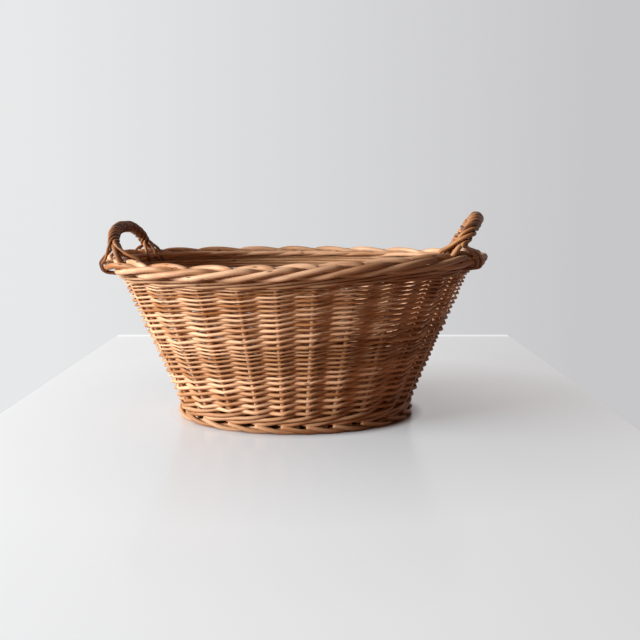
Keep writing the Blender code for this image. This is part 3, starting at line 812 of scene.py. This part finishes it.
rods = []
for start in range(UPSETT_STRANDS):
    route = wale_rod(start, UPSETT_STRANDS, UPSETT_LEVEL, UPSETT_ROD, UPSETT_DROP)
    rods.append(rod(route, [UPSETT_BUTT, UPSETT_TIP], tone_of(0.4, 0.3)))
lay_rods("upsett_wale", rods, WALE_WILLOW,
         ["upsett_rod_1", "upsett_rod_2", "upsett_rod_3"])

# Randing, lower and upper band: one rod for each stake, laid in front of one
# and behind the next, each on top of the rod to its right. The butts start a
# band and the thin tips end it, so its rows grow finer as they climb.
RAND_PASSES = 26
RAND_SAMPLES = 8
LOWER_BUTT = 3.35
LOWER_TIP = 1.6
UPPER_BUTT = 3.0
UPPER_TIP = 1.4
GIRTH_RANGE = (0.86, 1.14)
LOOSE_RANGE = (-0.15, 0.3)
# How much a rod's run between two stakes is rounded, its size at the wall's middle line,
# and how much less that is in front and more behind, so that the rows close up there.
RAND_ROUND = 0.15
RAND_SWELL = 1.28
RAND_SWELL_LOSS = 0.32
# How far a rod's ends run on: along the wall in stake spacings, and down or up.
BUTT_OVERHANG = (0.34, 0.3)
TIP_OVERHANG = (0.3, 0.3)
BAND_SPLIT = 0.53
TOP_WALE_ROD = 2.4
TOP_WALE_DROP = 10.8
TOP_WALE_LEVEL = BORDER_LEVEL - TOP_WALE_DROP
RAND_ROOM = 0.6
RAND_FOOT = UPSETT_LEVEL + UPSETT_ROD / 2.0 + RAND_ROOM
RAND_TOP = TOP_WALE_LEVEL - TOP_WALE_ROD - GAP
RAND_MIDDLE = RAND_FOOT + (RAND_TOP - RAND_FOOT) * BAND_SPLIT
# Pale honey rods, each with its own depth of brown, so that the rows stay distinct.
RAND_WILLOW = willow("peeled willow, randed", "#E6BD99", "#9C6431", "#9A8468", "#45290F", 0.5)


def rand_band(low, high, butt, tip):
    """The rods of one band, stacked between every two stakes from low to high."""
    girth = [chance.uniform(*GIRTH_RANGE) for _ in range(STAKE_COUNT)]

    def thick(rod_index, place):
        share = (place + 1.0) / RAND_PASSES
        return (butt + (tip - butt) * share) * girth[rod_index % STAKE_COUNT]

    crossing = {}
    for gap in range(STAKE_COUNT):
        stack = [thick(gap - j, j + 0.5) for j in range(-1, RAND_PASSES - 1)]
        scale = (high - low) / sum(stack)
        level = low
        for j, size in enumerate(stack, start=-1):
            crossing[gap, j] = level + size * scale / 2.0
            level += size * scale

    rods = []
    for index in range(STAKE_COUNT):
        stops = []
        for j in range(-1, RAND_PASSES):
            size = thick(index, j)
            before = crossing.get(((index + j - 1) % STAKE_COUNT, j - 1), low)
            after = crossing.get(((index + j) % STAKE_COUNT, j), high)
            level = (before + after) / 2.0
            station, out = passing(index + j + 0.5, level, size)
            side = -1.0 if j % 2 else 1.0
            out += chance.uniform(*LOOSE_RANGE)
            stops.append((station, level, side * out, after, size))
        points = []
        sizes = []
        for here, there in zip(stops, stops[1:]):
            station, level, out, after, size = here
            next_station, next_level, next_out, _, next_size = there
            for sample in range(RAND_SAMPLES):
                t = sample / RAND_SAMPLES
                wave = RAND_ROUND * math.cos(math.pi * t) + (1.0 - RAND_ROUND) * (1.0 - 2.0 * t)
                front = math.copysign(1.0, out) * wave
                reach = abs(out) * (1.0 - t) + abs(next_out) * t
                height = (level + (after - level) * 2.0 * t if t < 0.5
                          else after + (next_level - after) * (2.0 * t - 1.0))
                points.append(wall_point(station + (next_station - station) * t, height,
                                         reach * front))
                sizes.append((size + (next_size - size) * t)
                             * (RAND_SWELL - RAND_SWELL_LOSS * front))
        station, level, out, _, _ = stops[0]
        points.insert(0, wall_point(station - BUTT_OVERHANG[0], level - BUTT_OVERHANG[1], out))
        sizes.insert(0, sizes[0])
        station, level, out, _, size = stops[-1]
        points.append(wall_point(station, level, out))
        points.append(wall_point(station + TIP_OVERHANG[0], level + TIP_OVERHANG[1], out))
        sizes += [size] * 2
        rods.append((points, sizes, tone_of(0.42, 0.5, 0.1)))
    return rods


for band, low, high, butt, tip in (("lower", RAND_FOOT, RAND_MIDDLE, LOWER_BUTT, LOWER_TIP),
                                   ("upper", RAND_MIDDLE, RAND_TOP, UPPER_BUTT, UPPER_TIP)):
    rods = rand_band(low, high, butt, tip)
    for half in range(2):
        lay_rods("%s_rand_rods_%d" % (band, half + 1), rods[half::2], RAND_WILLOW,
                 ["rand_%s_weaver_%d" % (band, half + 1)])

# Top wale: four thin rods that hold the last randing down under the border,
# and four laid inside the stakes that fill the space below the border's ends.
TOP_WALE_STRANDS = 4
TOP_WALE_BUTT = 2.6
TOP_WALE_LIFT = 1.2
FILLER_COUNT = 4
FILLER_BUTT = 3.3
FILLER_TIP = 2.9
FILLER_LIFT = 4.6
FILLER_PITCH = 2.9

rods = []
for start in range(TOP_WALE_STRANDS):
    route = wale_rod(start, TOP_WALE_STRANDS, TOP_WALE_LEVEL + TOP_WALE_LIFT, TOP_WALE_ROD, 0.0)
    rods.append(rod(route, [TOP_WALE_BUTT, TOP_WALE_ROD], tone_of(0.5, 0.3)))
for row in range(FILLER_COUNT):
    level = TOP_WALE_LEVEL + FILLER_LIFT - row * FILLER_PITCH
    filler = [wall_point(count / 2.0, level, -(STAKE_BUTT + TOP_WALE_ROD) / 2.0 - GAP)
              for count in range(2 * STAKE_COUNT)]
    rods.append(rod(filler, [FILLER_BUTT, FILLER_TIP], tone_of(0.5, 0.3)))
lay_rods("top_wale", rods, WALE_WILLOW,
         ["top_wale_rod_1", "top_wale_rod_2", "top_wale_rod_3"])

# Foot: one short rod at each stake. Its butt shows under the wale, and the
# rod runs down, under and up inside, so that the rods lie as a rope. The
# basket has worn them flat where it stands.
FOOT_BUTT = 4.6
FOOT_TIP = 3.4
FOOT_BUTT_PLACE = 0.42
FOOT_BUTT_OUT = 0.7
FOOT_BUTT_TURN = math.radians(66.0)
FOOT_SWEEP = math.radians(310.0)
FOOT_PER_STAKE = FULL_TURN / FOOT_STRANDS
FOOT_SAMPLES = 22

foot_a = FOOT_LENGTH / 2.0 - FOOT_REACH
foot_b = FOOT_WIDTH / 2.0 - FOOT_REACH
rods = []
for number in range(STAKE_COUNT):
    points = []
    for sample in range(FOOT_SAMPLES + 1):
        swept = FOOT_SWEEP * sample / FOOT_SAMPLES
        turn = FOOT_BUTT_TURN - swept
        angle = angle_at(shifted(number + FOOT_BUTT_PLACE) + swept / FOOT_PER_STAKE)
        cos, sin = math.cos(angle), math.sin(angle)
        outward = Vector((cos / foot_a, sin / foot_b, 0.0)).normalized()
        middle = Vector((foot_a * cos, foot_b * sin, FOOT_REACH - FOOT_FLAT))
        reach = FOOT_CIRCLE + FOOT_BUTT_OUT * max(0.0, 1.0 - swept)
        points.append(middle + outward * reach * math.cos(turn)
                      + Vector((0.0, 0.0, reach * math.sin(turn))))
    sizes = list(np.linspace(FOOT_BUTT, FOOT_TIP, len(points)))
    rods.append((points, sizes, tone_of(0.4, 0.3)))
for third in range(3):
    foot = lay_rods("foot_rods_%d" % (third + 1), rods[third::3], WALE_WILLOW,
                    ["foot_rod_%d" % (third + 1)], sides=12)
    for corner in foot.data.vertices:
        corner.co.z = max(corner.co.z, 0.0)

# Handles: a bow of unpeeled willow with its legs pushed down the wall, and
# five thinner rods twisted round it as a rope. Their ends fan out over the
# border and are tucked in under it, outside and inside.
RIGHT_HANDLE_RISE = 30.5
LEFT_HANDLE_RISE = 25.0
RIGHT_HANDLE_LEAN = 20.0
LEFT_HANDLE_LEAN = 12.5
# The bow's first and last shoulder: 1 is round, less is squarer, more is leaner.
RIGHT_HANDLE_SHOULDERS = (0.75, 1.0)
LEFT_HANDLE_SHOULDERS = (0.66, 1.05)
# How far the bow's first and last leg lean along the border, in stake spacings.
RIGHT_HANDLE_SLIPS = (0.0, 0.0)
LEFT_HANDLE_SLIPS = (0.3, 0.0)
BOW_POINTS = 14
BOW_SAMPLES = 400
RIGHT_WRAP_ROD = 3.8
LEFT_WRAP_ROD = 3.0
WRAP_STRANDS = 5
# The length of the bow that one turn of the rope covers, and what it leaves bare.
RIGHT_WRAP_LEAD = 38.0
LEFT_WRAP_LEAD = 28.0
RIGHT_WRAP_FREE = (9.0, 11.0)
LEFT_WRAP_FREE = (6.0, 16.0)
WRAP_SAMPLES = 40
WRAP_STEP = 1.5
WRAP_SINK = 0.1
WRAP_SWELL = 0.5
WRAP_SWELL_WAVE = 0.09
WRAP_THICK = 1.1
WRAP_THIN = 0.92
WRAP_END = 0.9
# Where the rope's ends cross the border, in stake spacings from the first and then the
# last leg: for each, those outside and those inside.
RIGHT_FANS = (((0.7, 1.0), (-0.2, 0.0, 0.2)), ((-0.95, -0.75), (-0.6, -0.38, -0.16)))
LEFT_FANS = (((0.3, 0.5), (-0.1, 0.1, 0.5)), ((-0.86, -0.66), (-0.1, 0.15, 0.4)))
FAN_PRESS = 0.2
# How an end runs over the border: its share of the way along, its height above the
# border's middle line, and its distance out, where None is the border's edge.
FAN_ROUTE = ((0.5, 9.6, 5.8), (0.9, 2.4, None), (1.0, -3.0, None), (1.0, -6.6, 7.0),
             (0.96, -8.2, 4.4))
# Deep brown bark with a soft shine, the darkest rods of the basket.
HANDLE_WILLOW = willow("brown willow, bark on", "#BE8A5A", "#5E3018", "#6F5A4A", "#24120A", 0.42)


def bow_line(legs, height, lean, shoulders, samples):
    """The bow's middle line above the border, and the direction square to its arch."""
    near, far = (wall_point(leg, RIM_HEIGHT) for leg in legs)
    half = (far - near) / 2.0
    outward = half.cross(Vector((0.0, 0.0, 1.0))).normalized()
    rise = Vector((0.0, 0.0, height)) + outward * lean
    line = []
    for count in range(samples + 1):
        turn = math.pi * count / samples
        shoulder = shoulders[0] if turn < math.pi / 2.0 else shoulders[1]
        across = abs(math.cos(turn)) ** shoulder * (1.0 if turn < math.pi / 2.0 else -1.0)
        line.append((near + far) / 2.0 - half * across + rise * math.sin(turn) ** shoulder)
    return line, half.cross(rise).normalized()


def fan(leg, tips, thick, outside, inside):
    """Routes of a leg's rope ends, each to a place along the border, outside or inside it."""
    base = wall_point(leg, RIM_HEIGHT)
    outward = wall_point(leg, RIM_HEIGHT, 1.0) - base
    along = (wall_point(leg + 0.1, RIM_HEIGHT) - base).normalized()
    by_reach = sorted(range(len(tips)), key=lambda number: -(tips[number] - base).dot(outward))
    edge = (BORDER_WIDTH + thick) / 2.0 - FAN_PRESS
    routes = {}
    for numbers, slides, way in ((by_reach[:len(outside)], outside, 1.0),
                                 (by_reach[len(outside):], inside, -1.0)):
        numbers = sorted(numbers, key=lambda number: (tips[number] - base).dot(along))
        for number, slide in zip(numbers, sorted(slides)):
            routes[number] = [
                wall_point(leg + slide * share, BORDER_LEVEL + up, way * (out or edge))
                for share, up, out in FAN_ROUTE]
    return routes


def handle(side, stations, slips, height, lean, shoulders, thick, lead, free, fans):
    """One handle: its bow, and the roped rods with their fanned ends."""
    legs = [station + slip for station, slip in zip(stations, slips)]
    line, square = bow_line(legs, height, lean, shoulders, BOW_POINTS)
    levels = (LEG_BOTTOM, (LEG_BOTTOM + BORDER_LEVEL) / 2.0)
    down = [wall_point(stations[0], level) for level in levels]
    up = [wall_point(stations[1], level) for level in reversed(levels)]
    lay_rods("%s_bow" % side, [rod(down + line + up, [HANDLE_ROD] * 2, tone_of(0.6, 0.1))],
             HANDLE_WILLOW, ["%s_handle_bow" % side], sides=12)

    fine = bow_line(legs, height, lean, shoulders, BOW_SAMPLES)[0]
    fine = np.array([tuple(point) for point in fine])
    walked = np.concatenate(([0.0], np.cumsum(np.linalg.norm(np.diff(fine, axis=0), axis=1))))

    def along_bow(distance):
        return Vector([float(np.interp(distance, walked, fine[:, axis])) for axis in range(3)])

    reach = (HANDLE_ROD + thick) / 2.0 - WRAP_SINK
    roped = walked[-1] - sum(free)
    ropes = []
    for strand in range(WRAP_STRANDS):
        rope = []
        swell = chance.uniform(0.0, WRAP_SWELL)
        for sample in range(WRAP_SAMPLES + 1):
            far = roped * sample / WRAP_SAMPLES
            turn = FULL_TURN * (strand / WRAP_STRANDS + far / lead)
            far += free[0]
            ahead = (along_bow(far + 1.0) - along_bow(far - 1.0)).normalized()
            beside = ahead.cross(square)
            out = reach + swell * math.sin(WRAP_SWELL_WAVE * far + strand) ** 2
            rope.append(along_bow(far) + (square * math.cos(turn) + beside * math.sin(turn)) * out)
        ropes.append(rope)
    first = fan(legs[0], [rope[0] for rope in ropes], thick, *fans[0])
    last = fan(legs[1], [rope[-1] for rope in ropes], thick, *fans[1])
    rods = []
    for strand, rope in enumerate(ropes):
        route = list(reversed(first[strand])) + rope + last[strand]
        size = thick * (WRAP_THICK if strand % 2 else WRAP_THIN)
        end = size * WRAP_END
        rods.append(rod(route, [end, size, size, end], tone_of(0.5, 0.4), WRAP_STEP))
    for group in range(3):
        lay_rods("%s_roping_%d" % (side, group + 1), rods[group::3], HANDLE_WILLOW,
                 ["%s_handle_wrap_%d" % (side, group + 1)], sides=10)


handle("right", LEG_STATIONS[0], RIGHT_HANDLE_SLIPS, RIGHT_HANDLE_RISE, RIGHT_HANDLE_LEAN,
       RIGHT_HANDLE_SHOULDERS, RIGHT_WRAP_ROD, RIGHT_WRAP_LEAD, RIGHT_WRAP_FREE, RIGHT_FANS)
handle("left", LEG_STATIONS[1], LEFT_HANDLE_SLIPS, LEFT_HANDLE_RISE, LEFT_HANDLE_LEAN,
       LEFT_HANDLE_SHOULDERS, LEFT_WRAP_ROD, LEFT_WRAP_LEAD, LEFT_WRAP_FREE, LEFT_FANS)
